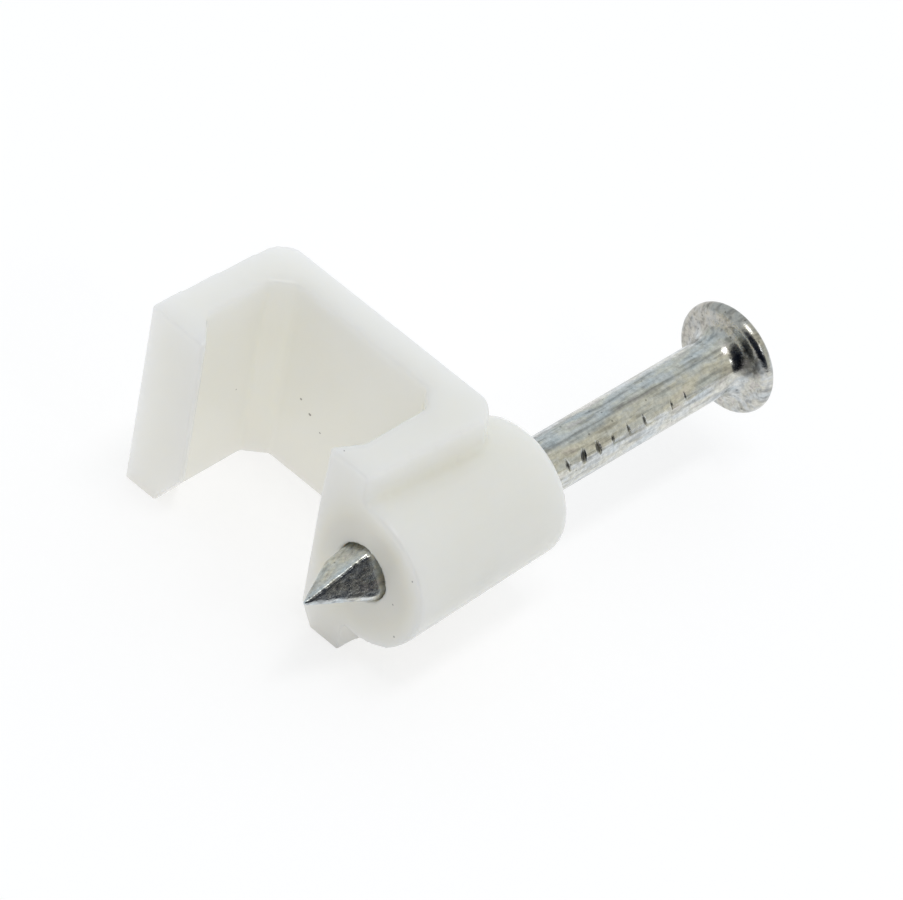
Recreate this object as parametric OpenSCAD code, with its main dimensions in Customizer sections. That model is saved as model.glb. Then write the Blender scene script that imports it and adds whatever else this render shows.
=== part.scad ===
// Nail-in clip for flat cable: a moulded plastic clip and the steel nail that waits in its boss.
// X runs from the free leg to the nail, Y out of the wall along the nail, Z along the cable.
// The origin is on the nail's axis, in the wall plane, halfway along the clip. Millimetres.

/* [Cable channel] */
// Clear width between the legs, for the widest flat cable
cable_w = 9; // [7:0.5:14]
// Clear height from the wall to the back
cable_h = 5.6; // [4.6:0.1:9]
// Length of the clip along the cable
clip_len = 9.4; // [8:0.1:14]
// Chamfer in the two inner corners of the channel
corner_chamfer = 0.8; // [0.3:0.1:1.4]

/* [Legs and back] */
// Thickness of the back
back_t = 1.5; // [1.3:0.1:3]
// Thickness of the free leg where it meets the back
free_leg_t = 1.4; // [1.2:0.1:3]
// Thickness of the nail leg at the wall
nail_leg_t = 1.6; // [1:0.1:2]
// Outward lean of the free leg's outer face, in degrees
free_leg_draft = 2.7; // [0:0.1:5]
// Lean of the nail leg's outer face, which thickens the leg towards the back, in degrees
nail_leg_draft = 4; // [0:0.1:5]
// Radius of the two outer corners of the back
back_corner_r = 1.2; // [0.5:0.1:1.3]

/* [Retaining lips] */
// How far the free leg's lip stands into the mouth
free_lip = 1.2; // [0.4:0.1:1.6]
// How far the nail leg's lip stands into the mouth
nail_lip = 0.6; // [0.2:0.1:1]
// Height of the lips above the wall
lip_h = 1.4; // [0.8:0.1:2]
// Height of the flat land at a lip's edge
lip_land = 0.25; // [0.1:0.05:0.5]
// Angle at which the lips run out at the clip's lower end, from the cable's direction
lip_runout = 32; // [25:1:60]

/* [Nail boss] */
// Diameter of the boss at the wall
boss_d = 6.6; // [5.6:0.1:8]
// Taper of the boss towards the nail's head, in degrees
boss_draft = 1.7; // [0:0.1:3]
// How far the boss stands proud of the back
boss_rise = 1.6; // [0.6:0.1:4]
// Radius of the boss's rim on the head's side
boss_edge_r = 0.45; // [0.2:0.05:0.8]
// Wall between the nail's bore and the cable channel
bore_wall = 0.84; // [0.5:0.02:2]
// Radial clearance of the nail in its bore
nail_fit = 0.03; // [0.01:0.01:0.1]

/* [Nail] */
// Diameter of the nail's shank
nail_d = 2.5; // [1.8:0.1:3]
// Overall length of the nail, from point to head
nail_len = 24.4; // [20:0.1:40]
// How far the point stands out of the wall side before the nail is driven
point_out = 2.9; // [0:0.1:6]
// Length of the four-sided point
point_len = 3.5; // [2:0.1:5]
// Width of the point's blunt end
point_blunt = 0.16; // [0.05:0.01:0.4]
// How far the point's end lies off the shank's axis, across the clip
point_off_x = -0.2; // [-0.3:0.01:0.3]
// How far the point's end lies off the shank's axis, along the cable
point_off_z = -0.15; // [-0.3:0.01:0.3]
// Turn of the point's facets about the shank, in degrees
point_turn = 30; // [0:1:45]

/* [Nail head] */
// Diameter of the head
head_d = 4.9; // [3.6:0.1:7]
// Height of the cone under the head
head_cone_h = 0.42; // [0.2:0.02:1.2]
// Thickness of the head's rim
head_rim_h = 0.65; // [0.5:0.05:1.2]
// Radius of the rim's edges
head_edge_r = 0.22; // [0.1:0.01:0.25]
// Rise of the domed top above the rim
head_dome_h = 0.35; // [0.1:0.05:0.8]

/* [Hidden] */
$fn = 64;
// Overshoot of the cutting shapes
over = 1;
clip_h = cable_h + back_t;
half_len = clip_len / 2;
bore_r = nail_d / 2 + nail_fit;
// Inner and outer faces of the two legs
nail_leg_in = -(bore_r + bore_wall);
nail_leg_out = nail_leg_in + nail_leg_t;
free_leg_in = nail_leg_in - cable_w;
free_leg_out = free_leg_in - free_leg_t;
boss_top = clip_h + boss_rise;
boss_top_r = boss_d / 2 - boss_top * tan(boss_draft);
// Heights along the nail, measured from its point
head_z = nail_len - head_dome_h - head_rim_h - head_cone_h;
rim_z = head_z + head_cone_h;
dome_z = rim_z + head_rim_h;
dome_r = (pow(head_d / 2 - head_edge_r, 2) + pow(head_dome_h, 2)) / (2 * head_dome_h);

// Outline of the legs and back seen along the cable, with the channel still filled
module clip_outline() {
    free_x = free_leg_out + back_corner_r * (1 / cos(free_leg_draft) - tan(free_leg_draft));
    nail_x = nail_leg_out + clip_h * tan(nail_leg_draft)
        - back_corner_r * (1 / cos(nail_leg_draft) + tan(nail_leg_draft));
    corner_y = clip_h - back_corner_r;
    translate([free_x, corner_y]) circle(back_corner_r);
    translate([nail_x, corner_y]) circle(back_corner_r);
    polygon([
        [free_leg_out - clip_h * tan(free_leg_draft), 0],
        [free_x - back_corner_r * cos(free_leg_draft), corner_y + back_corner_r * sin(free_leg_draft)],
        [free_x, clip_h],
        [nail_x, clip_h],
        [nail_x + back_corner_r * cos(nail_leg_draft), corner_y - back_corner_r * sin(nail_leg_draft)],
        [nail_leg_out, 0]
    ]);
}

// Open section of the cable channel, narrowed at the mouth by the two lips
module channel_outline() {
    polygon([
        [free_leg_in + free_lip, -over],
        [free_leg_in + free_lip, lip_land],
        [free_leg_in, lip_h],
        [free_leg_in, cable_h - corner_chamfer],
        [free_leg_in + corner_chamfer, cable_h],
        [nail_leg_in - corner_chamfer, cable_h],
        [nail_leg_in, cable_h - corner_chamfer],
        [nail_leg_in, lip_h],
        [nail_leg_in - nail_lip, lip_land],
        [nail_leg_in - nail_lip, -over]
    ]);
}

// Prism along the cable, centred on the clip's length
module along_cable(length) {
    translate([0, 0, -length / 2]) linear_extrude(length) children();
}

// Lays what stands on the XY plane along the nail, pointing out of the wall
module along_nail() {
    rotate([-90, 0, 0]) children();
}

// Wedge that lets a lip run out to nothing at the clip's lower end; side is 1 for the free leg
module lip_cut(leg_x, lip, side) {
    slope = tan(lip_runout);
    reach = lip / slope + over;
    translate([leg_x, -over, -half_len])
        along_nail()
            linear_extrude(lip_h + over)
                polygon([[-side * slope * over, over], [side * slope * reach, -reach], [side * slope * reach, over]]);
}

// Tapered round boss about the nail, with a rounded rim on the head's side
module boss() {
    along_nail() rotate_extrude() {
        polygon([
            [0, 0],
            [boss_d / 2, 0],
            [boss_top_r, boss_top - boss_edge_r],
            [boss_top_r - boss_edge_r, boss_top],
            [0, boss_top]
        ]);
        translate([boss_top_r - boss_edge_r, boss_top - boss_edge_r]) circle(boss_edge_r);
    }
}

// One moulding: free leg, back, nail leg and boss round the cable channel
module clip_body() {
    color("whitesmoke") difference() {
        union() {
            along_cable(clip_len) clip_outline();
            boss();
        }
        along_cable(clip_len + 2 * over) channel_outline();
        lip_cut(free_leg_in, free_lip, 1);
        lip_cut(nail_leg_in, nail_lip, -1);
        translate([0, -over, 0]) along_nail() cylinder(r = bore_r, h = boss_top + 2 * over);
    }
}

// Two opposite facets of the point, as the space between them, turned about the shank
module point_facets(turn) {
    skew = point_off_x * cos(turn) + point_off_z * sin(turn);
    spread = (nail_d - point_blunt) / 2 / point_len;
    top = nail_len + over;
    rotate(-turn) rotate([90, 0, 0]) translate([0, 0, -nail_d]) linear_extrude(2 * nail_d)
        polygon([
            [skew - point_blunt / 2, 0],
            [skew + point_blunt / 2, 0],
            [skew + point_blunt / 2 + spread * top, top],
            [skew - point_blunt / 2 - spread * top, top]
        ]);
}

// Head: cone under it, rounded rim and low dome
module nail_head() {
    head_r = head_d / 2;
    edge_x = head_r - head_edge_r;
    rotate_extrude() {
        polygon([
            [0, head_z],
            [nail_d / 2, head_z],
            [edge_x, rim_z],
            [head_r, rim_z + head_edge_r],
            [head_r, dome_z - head_edge_r],
            [edge_x, dome_z],
            [0, dome_z]
        ]);
        for (z = [rim_z + head_edge_r, dome_z - head_edge_r]) translate([edge_x, z]) circle(head_edge_r);
        intersection() {
            translate([0, nail_len - dome_r]) circle(dome_r);
            translate([0, rim_z]) square([edge_x, nail_len]);
        }
    }
}

// One headed wire nail, standing in the boss as supplied
module nail() {
    color("silver") translate([0, -point_out, 0]) along_nail() {
        intersection() {
            cylinder(d = nail_d, h = head_z + head_cone_h / 2);
            point_facets(point_turn);
            point_facets(point_turn + 90);
        }
        nail_head();
    }
}

clip_body();
nail();
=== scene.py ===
"""Looks of a nail-in clip for flat cable: a waxy white moulding, a zinc-plated nail and a pale studio."""
import math

import bpy
from mathutils import Matrix, Quaternion, Vector


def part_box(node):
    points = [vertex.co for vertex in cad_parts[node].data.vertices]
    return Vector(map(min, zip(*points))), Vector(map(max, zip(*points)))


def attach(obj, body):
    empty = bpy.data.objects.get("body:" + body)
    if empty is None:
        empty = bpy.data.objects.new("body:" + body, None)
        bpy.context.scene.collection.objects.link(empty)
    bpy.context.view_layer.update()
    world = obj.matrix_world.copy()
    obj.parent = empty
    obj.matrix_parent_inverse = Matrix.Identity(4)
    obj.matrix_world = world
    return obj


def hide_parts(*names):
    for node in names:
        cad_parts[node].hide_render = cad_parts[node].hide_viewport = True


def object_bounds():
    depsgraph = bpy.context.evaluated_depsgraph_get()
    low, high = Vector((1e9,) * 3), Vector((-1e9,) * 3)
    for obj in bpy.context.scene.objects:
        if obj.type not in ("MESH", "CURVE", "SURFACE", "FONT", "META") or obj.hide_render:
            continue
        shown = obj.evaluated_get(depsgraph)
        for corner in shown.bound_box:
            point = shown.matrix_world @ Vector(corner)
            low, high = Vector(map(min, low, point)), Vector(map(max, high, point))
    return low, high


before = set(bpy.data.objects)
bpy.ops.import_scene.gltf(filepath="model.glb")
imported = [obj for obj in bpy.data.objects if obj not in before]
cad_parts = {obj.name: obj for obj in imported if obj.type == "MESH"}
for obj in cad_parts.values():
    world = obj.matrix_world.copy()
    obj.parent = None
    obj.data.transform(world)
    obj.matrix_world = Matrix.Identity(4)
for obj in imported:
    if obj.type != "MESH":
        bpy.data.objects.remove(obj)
cad_low, cad_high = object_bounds()

# Pieces are modelled in millimetres and brought to metres at the end
MM = 0.001
NAIL_AXIS = Vector((0, 1, 0))
UP = Vector((0, 0, 1))

# Photograph's view: where the camera looks, from where, and how far it is tipped
LOOK_AT = Vector((-2.761, 7.729, 0.141)) * MM
VIEW_AZIMUTH = math.radians(37.94)
VIEW_ELEVATION = math.radians(42.69)
VIEW_ROLL = math.radians(10.79)
VIEW_DISTANCE = 400 * MM
LENS = 400.2

# Points closer than this are one, and the share of its way that a point goes in one step of smoothing
WELD = 0.001
EASE = 0.5

# Softened moulding: its edges are eased all over, and more at three rims: the channel's on the upper end,
# the boss's on the wall side and the groove's between boss and nail leg
MOULD_GRAIN = 0.09
MOULD_SMOOTHING = 6
RIM_SMOOTHING = 30
MOULD_KEEP = 0.4
CHANNEL_FREE_X = -11.12
CHANNEL_NAIL_X = -2.12
CHANNEL_BACK_Y = 5.6
BOSS_R = 3.3
GROOVE_X = -0.2
GROOVE_Z = 3.2
RIM_REACH = 0.9

# Nail, repeated from the part's sizes
SHANK_R = 1.25
HEAD_R = 2.45
HEAD_RIM_LOW = 20.5
HEAD_RIM_HIGH = 21.15
HEAD_EDGE_R = 0.22
NECK_R = 0.8
HEAD_UNDER_R = 0.4
POINT_LENGTH = 3.5
POINT_BLUNT = 0.16
POINT_TURN = math.radians(30)
POINT_OFF_X = -0.2
POINT_OFF_Z = -0.15

# Steps of the nail's round forms, and the angle from which an edge is shaded sharp
NAIL_SIDES = 96
FILLET_STEPS = 6
EDGE_STEPS = 4
DOME_STEPS = 8
CREASE = math.radians(24)

# Worn point: its ridges are eased by smoothing, which fades out along the shank, and the tip is made longer
# by what it loses
NAIL_GRAIN = 0.06
NAIL_SMOOTHING = 3
POINT_SMOOTHING = 40
POINT_BLEND = 1
NAIL_KEEP = 0.35
TIP_SPARE = 0.1

# Grip marks of the heading die, on two sides of the shank: place along it, depth, width and lean
GRIP_ANGLE = math.radians(33)
GRIP_LENGTH = 1.9
GRIP_REACH = 0.3
GRIP_SIDES = 16
GRIP_RINGS = 10
GRIP_MARKS = (
    (10.45, 0.06, 0.42, 6), (11.35, 0.07, 0.52, -8), (12.2, 0.07, 0.5, 4), (13.02, 0.045, 0.36, -5),
    (13.93, 0.055, 0.4, 3), (14.85, 0.055, 0.4, 8), (16.4, 0.04, 0.34, -4), (17.2, 0.035, 0.32, 5),
)

# Patterns, as how many of them lie in a millimetre: milk and fine grain of the moulding, and clouds,
# crystals, scratches and pits of the plate
MILK = 0.35
FINE_GRAIN = 5
CLOUDS = 1.8
CRYSTALS = 5
SCRATCHES = 5
PITS = 1.9

# How far light goes in the moulding: deep away from the nail, and little near its axis
LIGHT_DEPTH = 4
LIGHT_DEPTH_AT_NAIL = 0.3
NAIL_NEAR = 1.8
NAIL_FAR = 4

# Marks of use: dust on the moulding as x, y, z and radius, with the raggedness of its edges, a smudge on
# the boss and a stain under the head. Last, given the same way, a painted dark reflection under the head
DUST_RAG = 0.12
DUST = (
    (-11.12, 3.92, -0.79, 0.05), (-9.1, 5.6, -0.71, 0.07), (-8.5, 5.6, -1.13, 0.09),
    (-7.83, 5.6, -1.61, 0.05), (-2.22, 0.34, 4.7, 0.06), (1.85, 0, -0.33, 0.05),
    (2.57, 0, 1.5, 0.05), (2.19, 0, -1.83, 0.06),
)
SMUDGE = (3.17, 3.9, -0.1, 1.3)
STAIN = (-1.41, 20.58, 1.94, 0.6)
PAINTED_DARK_REFLECTION = (1.5, 20.4, 1.0, 0.95)

# Painted reflection, a dark streak along the shank: its turn about the nail, reach to each side and wander
PAINTED_STREAK_ANGLE = math.radians(77)
PAINTED_STREAK_REACH = 0.12
PAINTED_STREAK_WANDER = 0.3

# Places along the nail: middle and half length of the bare shank, where the point's look ends and where the
# head's begins, and last, across the nail, where the head grows dull and takes its painted shade
SHANK_MIDDLE = 14.3
SHANK_HALF = 5
POINT_FADE = (0.3, 1.5)
HEAD_FADE = (19.9, 20.5)
DULL_AND_SHADE_FADE = (-1, 2)

# Dirt in the grip marks: raggedness of its edge, and the radii about the shank's own between which it fades
GRIP_DIRT_RAG = 0.04
GRIP_DIRT_FADE = (SHANK_R - 0.03, SHANK_R + 0.005)

# Studio: an overhead soft box that leans to the right and a small one at the right
SOFTBOX = (0.3, 0.1)
SOFTBOX_POWER = 0.6
SOFTBOX_AT = Vector((0.1, 0, 0.6))
SIDE_LIGHT = (0.08, 0.08)
SIDE_LIGHT_POWER = 0.12
SIDE_LIGHT_AT = Vector((0.46, 0, 0.37))

# Even room, shaded on the wall's side. Reflections see a cool left, a warm right and a dark near side
ROOM_LEVEL = 0.84
ROOM_COLOUR = "F6FAFE"
SHADE_COLOUR = "ACACAC"
SHADE_SIDE = (0.15, -0.98, 0)
LEFT_COLOUR = "EAF0F1"
RIGHT_COLOUR = "EDEADC"
NEAR_COLOUR = "121B2C"
NEAR_SIDE = (0.72, -0.68, 0.12)

# Floor: paper that is lit a little from below under the channel, fading to a sixth of that under the boss.
# The camera and reflections see darker paper with a glow, which together are white outside a shadow
FLOOR_SIZE = 4
PAPER_COLOUR = "EDEDED"
SEEN_PAPER_COLOUR = "A8A8A8"
SEEN_PAPER_GLOW = 0.68
TABLE_LEVEL = 0.34
TABLE_FADE_X = (-6, 4)
TABLE_FADE_TO = TABLE_LEVEL / 6

WHITE = "FFFFFF"


def linear(hex_colour):
    """Linear RGBA of an sRGB hex colour."""
    channels = [int(hex_colour[i:i + 2], 16) / 255 for i in (0, 2, 4)]
    return tuple(c / 12.92 if c <= 0.04045 else ((c + 0.055) / 1.055) ** 2.4 for c in channels) + (1.0,)


def add(tree, kind, settings=None, inputs=None):
    """Adds a node with its settings. An input given as a socket is linked, any other is set."""
    node = tree.nodes.new(kind)
    for name, value in (settings or {}).items():
        setattr(node, name, value)
    for name, value in (inputs or {}).items():
        if isinstance(value, bpy.types.NodeSocket):
            tree.links.new(value, node.inputs[name])
        else:
            node.inputs[name].default_value = value
    return node


def new_material(name):
    """Empty node tree of a new material, and its output node."""
    material = bpy.data.materials.new(name)
    material.use_nodes = True
    material.node_tree.nodes.clear()
    return material, material.node_tree, add(material.node_tree, "ShaderNodeOutputMaterial")


def only(piece):
    """Makes a piece the one that operators act on."""
    if bpy.context.mode != "OBJECT":
        bpy.ops.object.mode_set(mode="OBJECT")
    bpy.ops.object.select_all(action="DESELECT")
    piece.select_set(True)
    bpy.context.view_layer.objects.active = piece


def modify(piece, kind, **settings):
    """Adds a modifier to a piece and applies it."""
    only(piece)
    modifier = piece.modifiers.new(kind.lower(), kind)
    for name, value in settings.items():
        setattr(modifier, name, value)
    bpy.ops.object.modifier_apply(modifier=modifier.name)


def to_metres(piece):
    """Brings a finished piece from millimetres to metres, with its place kept in its mesh."""
    only(piece)
    piece.scale = (MM, MM, MM)
    bpy.ops.object.transform_apply(location=False, rotation=False, scale=True)


def rim_weight(point):
    """How far a point of the moulding belongs to one of the three rims: 1 on it, 0 away from it."""
    channel = min(
        point.z - (cad_high.z / MM - 2 * RIM_REACH),
        point.x - (CHANNEL_FREE_X - RIM_REACH),
        CHANNEL_NAIL_X + RIM_REACH - point.x,
        CHANNEL_BACK_Y + RIM_REACH - point.y,
    )
    off_axis = math.hypot(point.x, point.z)
    boss = min(RIM_REACH - point.y, RIM_REACH - abs(off_axis - BOSS_R), point.x + point.z)
    groove = min(point.z - (GROOVE_Z - RIM_REACH), RIM_REACH - abs(point.x - GROOVE_X))
    return max(0, min(1, max(channel, boss, groove) / (RIM_REACH / 2)))


def soft_clip():
    """The moulding with its edges eased and its groove filled a little, as it comes from the tool."""
    piece = bpy.data.objects.new("moulded_clip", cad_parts["clip_body"].data.copy())
    bpy.context.scene.collection.objects.link(piece)
    piece.data.materials.clear()
    only(piece)
    piece.scale = (1 / MM, 1 / MM, 1 / MM)
    bpy.ops.object.transform_apply(location=False, rotation=False, scale=True)
    bpy.ops.object.mode_set(mode="EDIT")
    bpy.ops.mesh.select_all(action="SELECT")
    bpy.ops.mesh.remove_doubles(threshold=WELD)
    bpy.ops.object.mode_set(mode="OBJECT")
    modify(piece, "REMESH", mode="VOXEL", voxel_size=MOULD_GRAIN)
    modify(piece, "SMOOTH", factor=EASE, iterations=MOULD_SMOOTHING)
    rim = piece.vertex_groups.new(name="rims")
    for vertex in piece.data.vertices:
        rim.add([vertex.index], rim_weight(vertex.co), "REPLACE")
    modify(piece, "SMOOTH", factor=EASE, iterations=RIM_SMOOTHING, vertex_group=rim.name)
    modify(piece, "DECIMATE", decimate_type="COLLAPSE", ratio=MOULD_KEEP)
    only(piece)
    bpy.ops.object.shade_smooth()
    to_metres(piece)
    return piece


def nail_ends():
    """Where the unworn tip and the top of the head lie along the nail."""
    low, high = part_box("nail")
    return low.y / MM - TIP_SPARE, high.y / MM


def arc(radius, steps):
    """Points of a quarter round, as how far each lies along its start and how far across."""
    turns = [math.pi / 2 * i / steps for i in range(steps + 1)]
    return [(radius * math.sin(turn), radius * (1 - math.cos(turn))) for turn in turns]


def nail_profile():
    """Half outline of the nail as (radius, height along it): shank, neck under the head, rim and dome."""
    low, high = nail_ends()
    neck = HEAD_RIM_LOW - NECK_R
    under = HEAD_R - HEAD_UNDER_R
    edge = HEAD_R - HEAD_EDGE_R
    rim = HEAD_RIM_HIGH - HEAD_EDGE_R
    points = [(0, low), (SHANK_R, low)]
    points += [(SHANK_R + out, neck + up) for up, out in arc(NECK_R, FILLET_STEPS)]
    points += [(under + out, HEAD_RIM_LOW + up) for out, up in arc(HEAD_UNDER_R, FILLET_STEPS)]
    points += [(HEAD_R - back, rim + up) for up, back in arc(HEAD_EDGE_R, EDGE_STEPS)]
    rise = high - HEAD_RIM_HIGH
    dome_r = (edge ** 2 + rise ** 2) / (2 * rise)
    for i in range(DOME_STEPS - 1, -1, -1):
        radius = edge * i / DOME_STEPS
        points.append((radius, high - dome_r + math.sqrt(dome_r ** 2 - radius ** 2)))
    return points


def turned_nail():
    """The nail spun from its half outline, with the four-sided point cut by planes and then worn."""
    profile = nail_profile()
    bpy.ops.object.select_all(action="DESELECT")
    bpy.ops.mesh.primitive_plane_add(size=1)
    piece = bpy.context.object
    piece.name = "zinc_nail"
    bpy.ops.object.mode_set(mode="EDIT")
    bpy.ops.mesh.select_all(action="SELECT")
    bpy.ops.mesh.merge(type="CENTER")
    bpy.ops.transform.translate(value=(profile[0][0], profile[0][1], 0))
    for (x0, y0), (x1, y1) in zip(profile, profile[1:]):
        bpy.ops.mesh.extrude_region_move(TRANSFORM_OT_translate={"value": (x1 - x0, y1 - y0, 0)})
    bpy.ops.mesh.select_all(action="SELECT")
    bpy.ops.mesh.spin(steps=NAIL_SIDES, angle=math.tau, center=(0, 0, 0), axis=NAIL_AXIS)
    bpy.ops.mesh.select_all(action="SELECT")
    bpy.ops.mesh.remove_doubles(threshold=WELD)
    bpy.ops.mesh.normals_make_consistent(inside=False)
    low = nail_ends()[0]
    slope = math.atan((SHANK_R - POINT_BLUNT / 2) / POINT_LENGTH)
    apex = Vector((POINT_OFF_X, low, POINT_OFF_Z))
    for i in range(4):
        turn = POINT_TURN + i * math.pi / 2
        outward = Vector((math.cos(turn), 0, math.sin(turn)))
        normal = outward * math.cos(slope) - NAIL_AXIS * math.sin(slope)
        bpy.ops.mesh.select_all(action="SELECT")
        bpy.ops.mesh.bisect(plane_co=apex + outward * POINT_BLUNT / 2, plane_no=normal, use_fill=True,
                            clear_outer=True)
    bpy.ops.object.mode_set(mode="OBJECT")
    modify(piece, "REMESH", mode="VOXEL", voxel_size=NAIL_GRAIN)
    modify(piece, "SMOOTH", factor=EASE, iterations=NAIL_SMOOTHING)
    point = piece.vertex_groups.new(name="point")
    for vertex in piece.data.vertices:
        point.add([vertex.index], max(0, min(1, low + POINT_LENGTH + POINT_BLEND - vertex.co.y)), "REPLACE")
    modify(piece, "SMOOTH", factor=EASE, iterations=POINT_SMOOTHING, vertex_group=point.name)
    modify(piece, "DECIMATE", decimate_type="COLLAPSE", ratio=NAIL_KEEP)
    return piece


def grip_cutter():
    """Teeth of the heading die: two rows of narrow ellipsoids that press the grip marks into the shank."""
    teeth = []
    for side in (GRIP_ANGLE, GRIP_ANGLE + math.pi):
        outward = Vector((math.cos(side), 0, math.sin(side)))
        upright = Matrix((outward, NAIL_AXIS, outward.cross(NAIL_AXIS))).transposed().to_4x4()
        for place, depth, width, lean in GRIP_MARKS:
            bpy.ops.mesh.primitive_uv_sphere_add(segments=GRIP_SIDES, ring_count=GRIP_RINGS, radius=1)
            tooth = bpy.context.object
            centre = Matrix.Translation(outward * (SHANK_R - depth + GRIP_REACH) + NAIL_AXIS * place)
            leaning = Matrix.Rotation(math.radians(lean), 4, "X")
            extent = Matrix.Diagonal((GRIP_REACH, width / 2, GRIP_LENGTH / 2, 1))
            tooth.matrix_world = centre @ upright @ leaning @ extent
            teeth.append(tooth)
    bpy.ops.object.select_all(action="DESELECT")
    for tooth in teeth:
        tooth.select_set(True)
    bpy.context.view_layer.objects.active = teeth[0]
    bpy.ops.object.join()
    bpy.ops.object.transform_apply()
    return teeth[0]


def zinc_nail():
    """The nail with its grip marks, shaded smooth across its round faces."""
    piece = turned_nail()
    cutter = grip_cutter()
    modify(piece, "BOOLEAN", operation="DIFFERENCE", solver="EXACT", object=cutter)
    bpy.data.objects.remove(cutter)
    only(piece)
    bpy.ops.object.shade_smooth_by_angle(angle=CREASE)
    to_metres(piece)
    return piece


def spot(tree, place, mark, inner=0.5):
    """Mask of a round mark given as x, y, z and radius in millimetres: 1 in it, fading to 0 at its edge."""
    centre = Vector(mark[:3]) * MM
    away = add(tree, "ShaderNodeVectorMath", {"operation": "DISTANCE"}, {0: place, 1: centre})
    fade = add(tree, "ShaderNodeMapRange", {"interpolation_type": "SMOOTHSTEP"}, {
        "Value": away.outputs["Value"], "From Min": inner * mark[3] * MM, "From Max": mark[3] * MM,
        "To Min": 1.0, "To Max": 0.0})
    return fade.outputs["Result"]


def moulded_polyethylene():
    """Polyethylene, moulded: milky, waxy and a little see-through, so light softens every shade in it."""
    material, tree, output = new_material("moulded_polyethylene")
    place = add(tree, "ShaderNodeTexCoord").outputs["Object"]
    cloud = add(tree, "ShaderNodeTexNoise", inputs={"Vector": place, "Scale": MILK / MM, "Detail": 2.0})
    tint = add(tree, "ShaderNodeMix", {"data_type": "RGBA"},
               {"Factor": cloud.outputs["Fac"], 6: linear("F4F2EA"), 7: linear("F2EFE4")})
    fine = add(tree, "ShaderNodeTexNoise",
               inputs={"Vector": place, "Scale": FINE_GRAIN / MM, "Detail": 3.0})

    # Dust has ragged edges, so its places are pushed about by the fine grain
    ragged = add(tree, "ShaderNodeVectorMath", {"operation": "MULTIPLY_ADD"},
                 {0: fine.outputs["Color"], 1: (DUST_RAG * MM,) * 3, 2: place})
    centred = add(tree, "ShaderNodeVectorMath", {"operation": "SUBTRACT"},
                  {0: ragged.outputs["Vector"], 1: (DUST_RAG / 2 * MM,) * 3})
    dust = spot(tree, centred.outputs["Vector"], DUST[0])
    for grain in DUST[1:]:
        more = spot(tree, centred.outputs["Vector"], grain)
        dust = add(tree, "ShaderNodeMath", {"operation": "MAXIMUM"}, {0: dust, 1: more}).outputs["Value"]
    smudge = add(tree, "ShaderNodeMath", {"operation": "MULTIPLY"},
                 {0: spot(tree, place, SMUDGE, 0.0), 1: fine.outputs["Fac"]})
    smudged = add(tree, "ShaderNodeMix", {"data_type": "RGBA"},
                  {"Factor": smudge.outputs["Value"], 6: tint.outputs[2], 7: linear("EAE8DF")})
    dusty = add(tree, "ShaderNodeMix", {"data_type": "RGBA"},
                {"Factor": dust, 6: smudged.outputs[2], 7: linear("A6A29C")})

    # Light goes less far in the wall about the nail, which would else darken it
    flat = add(tree, "ShaderNodeVectorMath", {"operation": "MULTIPLY"}, {0: place, 1: (1, 0, 1)})
    off_nail = add(tree, "ShaderNodeVectorMath", {"operation": "LENGTH"}, {0: flat.outputs["Vector"]})
    depth = add(tree, "ShaderNodeMapRange", {"interpolation_type": "SMOOTHSTEP"}, {
        "Value": off_nail.outputs["Value"], "From Min": NAIL_NEAR * MM, "From Max": NAIL_FAR * MM,
        "To Min": LIGHT_DEPTH_AT_NAIL * MM, "To Max": LIGHT_DEPTH * MM})

    bump = add(tree, "ShaderNodeBump",
               inputs={"Height": fine.outputs["Fac"], "Strength": 0.15, "Distance": 0.01 * MM})
    shine = add(tree, "ShaderNodeMapRange",
                inputs={"Value": cloud.outputs["Fac"], "To Min": 0.18, "To Max": 0.28})
    surface = add(tree, "ShaderNodeBsdfPrincipled", inputs={
        "Base Color": dusty.outputs[2], "Roughness": shine.outputs["Result"], "IOR": 1.51,
        "Normal": bump.outputs["Normal"],
        "Subsurface Weight": 1.0, "Subsurface Radius": (1.0, 0.95, 0.85),
        "Subsurface Scale": depth.outputs["Result"]})
    tree.links.new(surface.outputs["BSDF"], output.inputs["Surface"])
    return material


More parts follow.
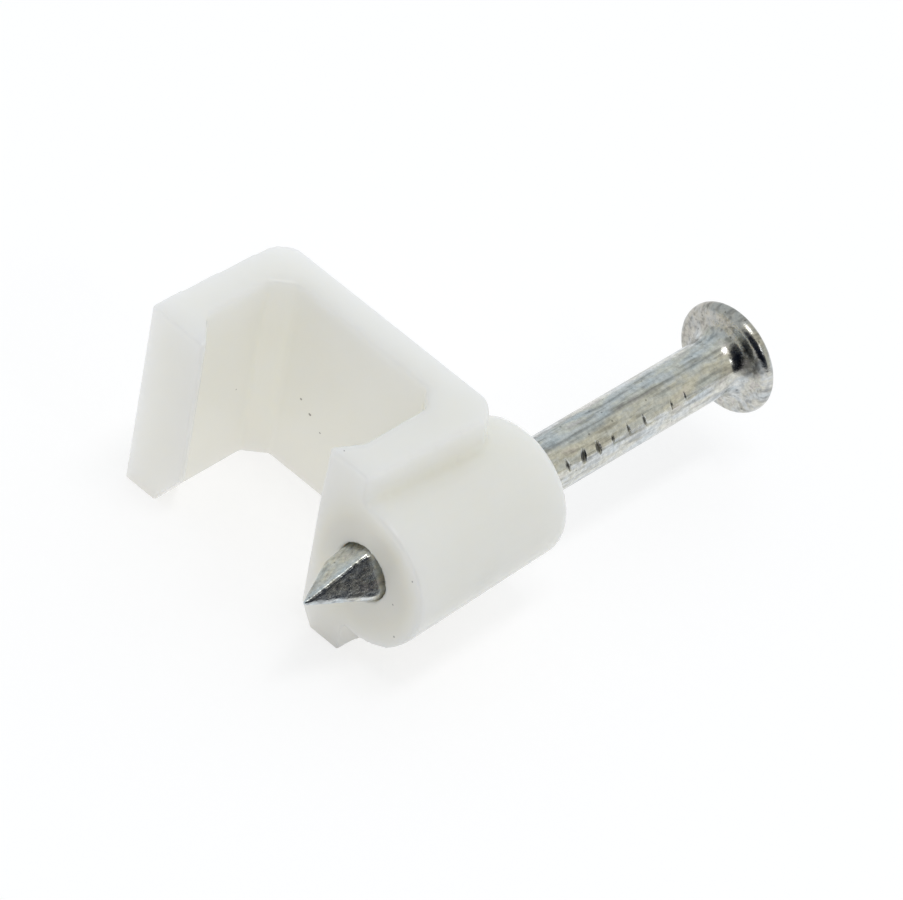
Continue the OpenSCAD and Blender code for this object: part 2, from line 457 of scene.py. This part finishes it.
def zinc_plate():
    """Zinc plate on drawn wire: bright grey with faint blue, straw and pink clouds, crystals, scratches and
    pits. Dirt stays in the grip marks. A painted dark reflection runs as a streak along the shank. The head
    is duller, with painted shade on its side up and towards the clip and a painted dark reflection under
    it."""
    material, tree, output = new_material("zinc_plate")
    place = add(tree, "ShaderNodeTexCoord").outputs["Object"]
    axes = add(tree, "ShaderNodeSeparateXYZ", inputs={"Vector": place})

    # Clouds of the passivated plate, about half a millimetre across and drawn out along the wire
    along = add(tree, "ShaderNodeMapping", inputs={"Vector": place, "Scale": (1, 0.35, 1)})
    cloud = add(tree, "ShaderNodeTexNoise", inputs={
        "Vector": along.outputs["Vector"], "Scale": CLOUDS / MM, "Detail": 6.0, "Roughness": 0.6})
    tint = add(tree, "ShaderNodeValToRGB", inputs={"Fac": cloud.outputs["Fac"]})
    ramp = tint.color_ramp
    ramp.elements[0].position, ramp.elements[0].color = 0.36, linear("C6CDD0")
    ramp.elements[1].position, ramp.elements[1].color = 0.66, linear("CDCAC7")
    for position, colour in ((0.47, "CDD0D0"), (0.56, "D2D2C9")):
        ramp.elements.new(position).color = linear(colour)

    # Crystals of the plate, the drawing die's scratches and pits
    crystal = add(tree, "ShaderNodeTexNoise",
                  inputs={"Vector": place, "Scale": CRYSTALS / MM, "Detail": 4.0, "Roughness": 0.6})
    drawn = add(tree, "ShaderNodeMapping", inputs={"Vector": place, "Scale": (1, 0.12, 1)})
    scratch = add(tree, "ShaderNodeTexNoise",
                  inputs={"Vector": drawn.outputs["Vector"], "Scale": SCRATCHES / MM, "Detail": 5.0})
    pit = add(tree, "ShaderNodeTexVoronoi", inputs={"Vector": place, "Scale": PITS / MM})

    # Distance from the painted streak's plane and the nail's axis, with all that is off the shank moved out
    streak_side = (-math.sin(PAINTED_STREAK_ANGLE), 0, math.cos(PAINTED_STREAK_ANGLE))
    off_streak = add(tree, "ShaderNodeVectorMath", {"operation": "DOT_PRODUCT"}, {0: place, 1: streak_side})
    wander = add(tree, "ShaderNodeMath", {"operation": "MULTIPLY_ADD"},
                 {0: scratch.outputs["Fac"], 1: PAINTED_STREAK_WANDER * MM, 2: off_streak.outputs["Value"]})
    apart = add(tree, "ShaderNodeMath", {"operation": "SUBTRACT"},
                {0: wander.outputs["Value"], 1: PAINTED_STREAK_WANDER / 2 * MM})
    near_streak = add(tree, "ShaderNodeMath", {"operation": "ABSOLUTE"}, {0: apart.outputs["Value"]})
    flat = add(tree, "ShaderNodeVectorMath", {"operation": "MULTIPLY"}, {0: place, 1: (1, 0, 1)})
    radius = add(tree, "ShaderNodeVectorMath", {"operation": "LENGTH"}, {0: flat.outputs["Vector"]})
    on_shank = add(tree, "ShaderNodeMath", {"operation": "COMPARE"},
                   {0: axes.outputs["Y"], 1: SHANK_MIDDLE * MM, 2: SHANK_HALF * MM})
    off_shank = add(tree, "ShaderNodeMath", {"operation": "SUBTRACT"},
                    {0: 1.0, 1: on_shank.outputs["Value"]})
    round_r = add(tree, "ShaderNodeMath", {"operation": "MULTIPLY_ADD"},
                  {0: off_shank.outputs["Value"], 1: SHANK_R * MM, 2: radius.outputs["Value"]})
    ragged = add(tree, "ShaderNodeMath", {"operation": "MULTIPLY_ADD"},
                 {0: crystal.outputs["Fac"], 1: GRIP_DIRT_RAG * MM, 2: round_r.outputs["Value"]})

    # The head and the point have no painted streak. The head is duller, and painted shade darkens it most
    # on
    #     the side up and towards the clip
    head = add(tree, "ShaderNodeMapRange", {"interpolation_type": "SMOOTHSTEP"},
               {"Value": axes.outputs["Y"], "From Min": HEAD_FADE[0] * MM, "From Max": HEAD_FADE[1] * MM})
    point = add(tree, "ShaderNodeMapRange", inputs={
        "Value": axes.outputs["Y"], "From Min": POINT_FADE[0] * MM, "From Max": POINT_FADE[1] * MM,
        "To Min": 1.0, "To Max": 0.0})
    streak_free = add(tree, "ShaderNodeMath", {"operation": "ADD"},
                 {0: head.outputs["Result"], 1: point.outputs["Result"]})
    painted_streak = add(tree, "ShaderNodeMath", {"operation": "MULTIPLY_ADD"},
               {0: streak_free.outputs["Value"], 1: MM, 2: near_streak.outputs["Value"]})
    lie = add(tree, "ShaderNodeVectorMath", {"operation": "DOT_PRODUCT"}, {0: place, 1: (-1, 0, 1)})
    painted_shade_side = add(tree, "ShaderNodeMapRange", inputs={
        "Value": lie.outputs["Value"], "From Min": DULL_AND_SHADE_FADE[0] * MM, "From Max": DULL_AND_SHADE_FADE[1] * MM,
        "To Min": 0.3, "To Max": 1.0})
    dull_and_shade = add(tree, "ShaderNodeMath", {"operation": "MULTIPLY"},
               {0: head.outputs["Result"], 1: painted_shade_side.outputs["Result"]})
    stain_and_shade = add(tree, "ShaderNodeMath", {"operation": "MAXIMUM"},
                {0: dull_and_shade.outputs["Value"], 1: spot(tree, place, STAIN, 0.2)})
    # Browned by the stain and by the head's dullness, which carries painted shade
    browned = add(tree, "ShaderNodeMath", {"operation": "MULTIPLY"},
                  {0: stain_and_shade.outputs["Value"], 1: crystal.outputs["Fac"]})
    aged_and_shaded = add(tree, "ShaderNodeMix", {"data_type": "RGBA"},
               {"Factor": browned.outputs["Value"], 6: tint.outputs["Color"], 7: linear("B0AAA0")})
    # Painted dark reflection under the head, broken up by the crystals
    scale = add(tree, "ShaderNodeMath", {"operation": "MULTIPLY"},
                {0: spot(tree, place, PAINTED_DARK_REFLECTION, 0.3), 1: crystal.outputs["Fac"]})

    # Layers of shade, some of them painted: what drives it, from where to where, and its darkest and
    # brightest
    shade = None
    for value, low, high, darkest, brightest in (
            (crystal.outputs["Fac"], 0.35, 0.65, 0.82, 1.12),
            (scratch.outputs["Fac"], 0.34, 0.52, 0.66, 1.04),
            (pit.outputs["Distance"], 0.05, 0.11, 0.45, 1.0),
            (painted_streak.outputs["Value"], 0.0, PAINTED_STREAK_REACH * MM, 0.58, 1.0),
            (ragged.outputs["Value"], GRIP_DIRT_FADE[0] * MM, GRIP_DIRT_FADE[1] * MM, 0.2, 1.0),
            (dull_and_shade.outputs["Value"], 1.0, 0.0, 0.9, 1.0),
            (scale.outputs["Value"], 0.5, 0.1, 0.22, 1.0)):
        layer = add(tree, "ShaderNodeMapRange", inputs={
            "Value": value, "From Min": low, "From Max": high, "To Min": darkest, "To Max": brightest})
        if shade is None:
            shade = layer.outputs["Result"]
        else:
            shade = add(tree, "ShaderNodeMath", {"operation": "MULTIPLY"},
                        {0: shade, 1: layer.outputs["Result"]}).outputs["Value"]
    colour = add(tree, "ShaderNodeMix", {"data_type": "RGBA", "blend_type": "MULTIPLY"},
                 {"Factor": 1.0, 6: aged_and_shaded.outputs[2], 7: shade})

    shine = add(tree, "ShaderNodeMapRange", inputs={
        "Value": crystal.outputs["Fac"], "From Min": 0.35, "From Max": 0.65,
        "To Min": 0.28, "To Max": 0.16})
    fine = add(tree, "ShaderNodeMath", {"operation": "ADD"},
               {0: crystal.outputs["Fac"], 1: scratch.outputs["Fac"]})
    relief = add(tree, "ShaderNodeMath", {"operation": "MULTIPLY_ADD"},
                 {0: cloud.outputs["Fac"], 1: 3.0, 2: fine.outputs["Value"]})
    bump = add(tree, "ShaderNodeBump",
               inputs={"Height": relief.outputs["Value"], "Strength": 0.35, "Distance": 0.015 * MM})
    surface = add(tree, "ShaderNodeBsdfPrincipled", inputs={
        "Base Color": colour.outputs[2], "Metallic": 1.0, "Roughness": shine.outputs["Result"],
        "Normal": bump.outputs["Normal"]})
    tree.links.new(surface.outputs["BSDF"], output.inputs["Surface"])
    return material


def white_paper():
    """Studio paper: plain white to the camera and in reflections, with the object's soft shadow kept."""
    material, tree, output = new_material("white_paper")
    path = add(tree, "ShaderNodeLightPath")
    glossy = add(tree, "ShaderNodeMath", {"operation": "MAXIMUM"},
                 {0: path.outputs["Is Glossy Ray"], 1: path.outputs["Is Transmission Ray"]})
    seen = add(tree, "ShaderNodeMath", {"operation": "MAXIMUM"},
               {0: path.outputs["Is Camera Ray"], 1: glossy.outputs["Value"]})
    paper = add(tree, "ShaderNodeBsdfDiffuse", inputs={"Color": linear(PAPER_COLOUR)})
    place = add(tree, "ShaderNodeTexCoord").outputs["Object"]
    axes = add(tree, "ShaderNodeSeparateXYZ", inputs={"Vector": place})
    level = add(tree, "ShaderNodeMapRange", {"interpolation_type": "SMOOTHSTEP"}, {
        "Value": axes.outputs["X"], "From Min": TABLE_FADE_X[0] * MM, "From Max": TABLE_FADE_X[1] * MM,
        "To Min": TABLE_LEVEL, "To Max": TABLE_FADE_TO})
    table = add(tree, "ShaderNodeEmission",
                inputs={"Color": linear(WHITE), "Strength": level.outputs["Result"]})
    lit = add(tree, "ShaderNodeAddShader", inputs={0: paper.outputs["BSDF"], 1: table.outputs["Emission"]})
    shaded = add(tree, "ShaderNodeBsdfDiffuse", inputs={"Color": linear(SEEN_PAPER_COLOUR)})
    glow = add(tree, "ShaderNodeEmission", inputs={"Color": linear(WHITE), "Strength": SEEN_PAPER_GLOW})
    bright = add(tree, "ShaderNodeAddShader",
                 inputs={0: shaded.outputs["BSDF"], 1: glow.outputs["Emission"]})
    mix = add(tree, "ShaderNodeMixShader", inputs={
        0: seen.outputs["Value"], 1: lit.outputs["Shader"], 2: bright.outputs["Shader"]})
    tree.links.new(mix.outputs["Shader"], output.inputs["Surface"])
    return material


def light_room():
    """White room, shaded on one side, with other sides for reflections."""
    world = bpy.data.worlds.new("light_room")
    world.use_nodes = True
    bpy.context.scene.world = world
    tree = world.node_tree
    tree.nodes.clear()
    direction = add(tree, "ShaderNodeTexCoord").outputs["Generated"]
    axes = add(tree, "ShaderNodeSeparateXYZ", inputs={"Vector": direction})
    right = add(tree, "ShaderNodeMapRange", {"interpolation_type": "SMOOTHSTEP"},
                {"Value": axes.outputs["X"], "From Min": -0.4, "From Max": 0.5})
    sides = add(tree, "ShaderNodeMix", {"data_type": "RGBA"},
                {"Factor": right.outputs["Result"], 6: linear(LEFT_COLOUR), 7: linear(RIGHT_COLOUR)})
    facing = add(tree, "ShaderNodeVectorMath", {"operation": "DOT_PRODUCT"}, {0: direction, 1: NEAR_SIDE})
    near = add(tree, "ShaderNodeMapRange", {"interpolation_type": "SMOOTHSTEP"},
               {"Value": facing.outputs["Value"], "From Min": 0.52, "From Max": 0.7})
    mirrored = add(tree, "ShaderNodeMix", {"data_type": "RGBA"},
                   {"Factor": near.outputs["Result"], 6: sides.outputs[2], 7: linear(NEAR_COLOUR)})
    away = add(tree, "ShaderNodeVectorMath", {"operation": "DOT_PRODUCT"}, {0: direction, 1: SHADE_SIDE})
    shade = add(tree, "ShaderNodeMapRange", {"interpolation_type": "SMOOTHSTEP"},
                {"Value": away.outputs["Value"], "From Min": -0.4, "From Max": 0.9})
    soft = add(tree, "ShaderNodeMix", {"data_type": "RGBA"},
               {"Factor": shade.outputs["Result"], 6: linear(ROOM_COLOUR), 7: linear(SHADE_COLOUR)})
    path = add(tree, "ShaderNodeLightPath")
    room = add(tree, "ShaderNodeMix", {"data_type": "RGBA"},
               {"Factor": path.outputs["Is Glossy Ray"], 6: soft.outputs[2], 7: mirrored.outputs[2]})
    light = add(tree, "ShaderNodeBackground", inputs={"Color": room.outputs[2], "Strength": ROOM_LEVEL})
    output = add(tree, "ShaderNodeOutputWorld")
    tree.links.new(light.outputs["Background"], output.inputs["Surface"])


def studio():
    """Pale paper floor, one long soft box overhead and a small one at the right."""
    bpy.ops.object.select_all(action="DESELECT")
    bpy.ops.mesh.primitive_plane_add(size=FLOOR_SIZE, location=(0, 0, cad_low.z))
    floor = bpy.context.object
    floor.name = "paper_floor"
    floor.data.materials.append(white_paper())

    for name, size, power, place in (
            ("overhead_softbox", SOFTBOX, SOFTBOX_POWER, SOFTBOX_AT),
            ("side_softbox", SIDE_LIGHT, SIDE_LIGHT_POWER, SIDE_LIGHT_AT)):
        lamp = bpy.data.lights.new(name, "AREA")
        lamp.shape = "RECTANGLE"
        lamp.size, lamp.size_y = size
        lamp.energy = power
        lamp_object = bpy.data.objects.new(name, lamp)
        lamp_object.location = place
        lamp_object.rotation_euler = (-place).to_track_quat("-Z", "Y").to_euler()
        bpy.context.scene.collection.objects.link(lamp_object)


def camera():
    """Camera at the photograph's angle, tipped as the photograph is."""
    back = Vector((math.sin(VIEW_AZIMUTH) * math.cos(VIEW_ELEVATION),
                   -math.cos(VIEW_AZIMUTH) * math.cos(VIEW_ELEVATION),
                   math.sin(VIEW_ELEVATION)))
    data = bpy.data.cameras.new("camera")
    data.lens = LENS
    eye = bpy.data.objects.new("camera", data)
    eye.location = LOOK_AT + back * VIEW_DISTANCE
    eye.rotation_mode = "QUATERNION"
    eye.rotation_quaternion = (-back).to_track_quat("-Z", "Y") @ Quaternion(UP, VIEW_ROLL)
    bpy.context.scene.collection.objects.link(eye)
    bpy.context.scene.camera = eye


camera()
light_room()
studio()
bpy.context.scene.view_settings.view_transform = "Standard"

clip = soft_clip()
clip.data.materials.append(moulded_polyethylene())
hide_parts("clip_body")
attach(clip, "clip")

nail = zinc_nail()
nail.data.materials.append(zinc_plate())
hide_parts("nail")
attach(nail, "nail")
